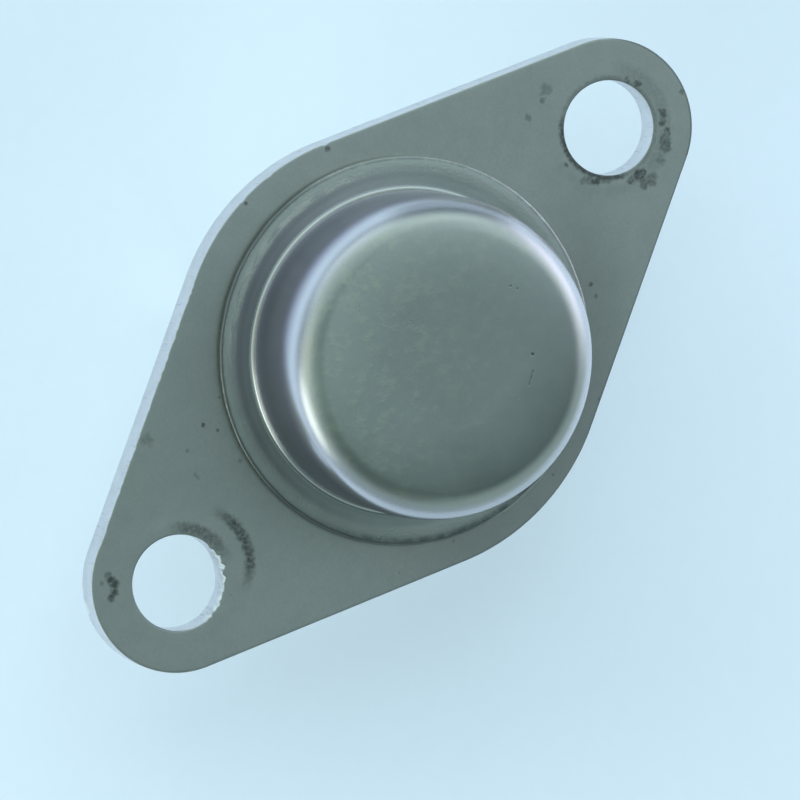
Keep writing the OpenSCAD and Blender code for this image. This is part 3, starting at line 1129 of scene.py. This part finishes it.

# %% [markdown]
# The part stands on the tips of its leads on a plain pale sheet. The sheet is a wide disc, so that it
# still fills the background when the camera looks from the side. The can's shoulder mirrors it, and
# painted light makes it bright near the part and darker further off, except on the side of the right
# window.

# %% Floor
FLOOR_SIDES = 96
floor_rings = [12, 30, 80, 200, 600]
sheet_points = [(0, 0, lead_low.z)]
for radius in floor_rings:
    for i in range(FLOOR_SIDES):
        angle = 2 * math.pi * i / FLOOR_SIDES
        sheet_points.append((radius * math.cos(angle), radius * math.sin(angle), lead_low.z))
sheet_faces = [(0, 1 + i, 1 + (i + 1) % FLOOR_SIDES) for i in range(FLOOR_SIDES)]
for ring in range(len(floor_rings) - 1):
    inner = 1 + ring * FLOOR_SIDES
    outer = inner + FLOOR_SIDES
    for i in range(FLOOR_SIDES):
        j = (i + 1) % FLOOR_SIDES
        sheet_faces.append((inner + i, outer + i, outer + j, inner + j))
floor_mesh = bpy.data.meshes.new("floor")
floor_mesh.from_pydata([Vector(point) * MM for point in sheet_points], [], sheet_faces)
floor = bpy.data.objects.new("floor", floor_mesh)
scene.collection.objects.link(floor)
print("the floor reaches", floor_rings[-1], "mm from the part")

# %% [markdown]
# The sheet is matt pale card. A painted falloff of light darkens its colour with the distance from the
# part, and less so toward the right window.

# %% Card of the floor
card = Finish("pale_card", Roughness=0.8, Specular_IOR_Level=0.1)
from_part = (card.place * (1.0, 1.0, 0.0)).length()
paper = card.noise(1.5, 3.0).blend((0.78, 0.84, 0.87), (0.8, 0.86, 0.89))
window_light = (card.place.dot(toward(337)) / (from_part + 1.0)).larger(0.0)
# Painted light: the card darkens with distance, less toward the right window.
card.give(Base_Color=paper * (1.0 - from_part.rise(42.0, 110.0) * (0.46 - window_light * 0.56)))
card.dress(floor)

# %% [markdown]
# Bare metal shows what stands round it, so the light is a room rather than a few lamps. The room is
# the world's own colour: an even cool level, soft glows in given directions for windows and walls,
# and soft shades for the dark parts of the room above the part. A strong white window
# low at the left and a bluish one low at the right draw the two bright lines on the can's shoulder.
# Each glow or shade is given as azimuth, tilt from straight up, spread and colour.


# %% Room
def direction(azimuth, tilt):
    """A direction by its azimuth from +X and its tilt from straight up, in degrees."""
    a, t = math.radians(azimuth), math.radians(tilt)
    return math.sin(t) * math.cos(a), math.sin(t) * math.sin(a), math.cos(t)


even_level = (0.324, 0.43, 0.474)
darker_above = (0.038, 0.027, 0.063)
darkest = (0.02, 0.02, 0.02)
left_window = (166, 84, 25, (1.4, 1.54, 1.4))
right_window = (337, 88, 32, (0.95, 0.94, 1.3))
above_right_window = (332, 64, 24, (0.48, 0.48, 0.6))
walls = [(28, 69, 30, (0.39, 0.47, 0.49)), (77, 53, 43, (0.34, 0.44, 0.45)),
         (85, 77, 38, (0.31, 0.38, 0.41)), (8, 32, 40, (0.21, 0.26, 0.31)),
         (135, 63, 26, (0.32, 0.34, 0.26))]
glows = [left_window, right_window, above_right_window] + walls
shades = [(77, 34, 45, (0.25, 0.33, 0.33)), (294, 36, 30, (0.25, 0.33, 0.33)),
          (217, 40, 36, (0.24, 0.32, 0.34)), (88, 64, 23, (0.25, 0.34, 0.38)),
          (24, 88, 21, (0.35, 0.4, 0.4))]
world = bpy.data.worlds.new("room")
scene.world = world
world.use_nodes = True
room = world.node_tree
look = add_node(room, "ShaderNodeTexCoord", output="Generated")


def lobe(azimuth, tilt, spread):
    """1 in the given direction, falling softly to 0 at the angle of its spread."""
    return look.dot(direction(azimuth, tilt)).rise(math.cos(math.radians(spread)), 1.0)


light = even_level - look.parts()[2] * darker_above
for azimuth, tilt, spread, colour in glows:
    light = light + lobe(azimuth, tilt, spread) * colour
for azimuth, tilt, spread, colour in shades:
    light = light - lobe(azimuth, tilt, spread) * colour
feed(room, room.nodes["Background"].inputs["Color"], light.larger(darkest))
print(len(glows), "glows and", len(shades), "shades in the room")

# %% [markdown]
# A few lamps that the metal doesn't mirror light the card. One of them stands higher and throws
# the shadow, and the low ones all round keep it soft. Each is given as name, azimuth, tilt, size
# in metres and power in watts.

# %% Lamps
LAMP_DISTANCE = 0.4
LAMP_COLOUR = (0.73, 0.872, 1.0)
lamps = [("high_lamp", 75, 34, 0.23, 0.39), ("back_lamp", 95, 60, 0.26, 0.55),
         ("left_lamp", 180, 66, 0.26, 0.52), ("front_lamp", 240, 66, 0.26, 0.42),
         ("right_lamp", 310, 66, 0.26, 0.42)]
for name, azimuth, tilt, size, power in lamps:
    lamp = bpy.data.objects.new(name, bpy.data.lights.new(name, "AREA"))
    lamp.data.shape = "DISK"
    lamp.data.size = size
    lamp.data.energy = power
    lamp.data.color = LAMP_COLOUR
    lamp.location = Vector(direction(azimuth, tilt)) * LAMP_DISTANCE
    lamp.rotation_euler = lamp.location.to_track_quat("Z", "Y").to_euler()
    lamp.visible_glossy = False
    scene.collection.objects.link(lamp)
scene.view_settings.view_transform = "Standard"
print(len(lamps), "soft lamps round the part")

# %% [markdown]
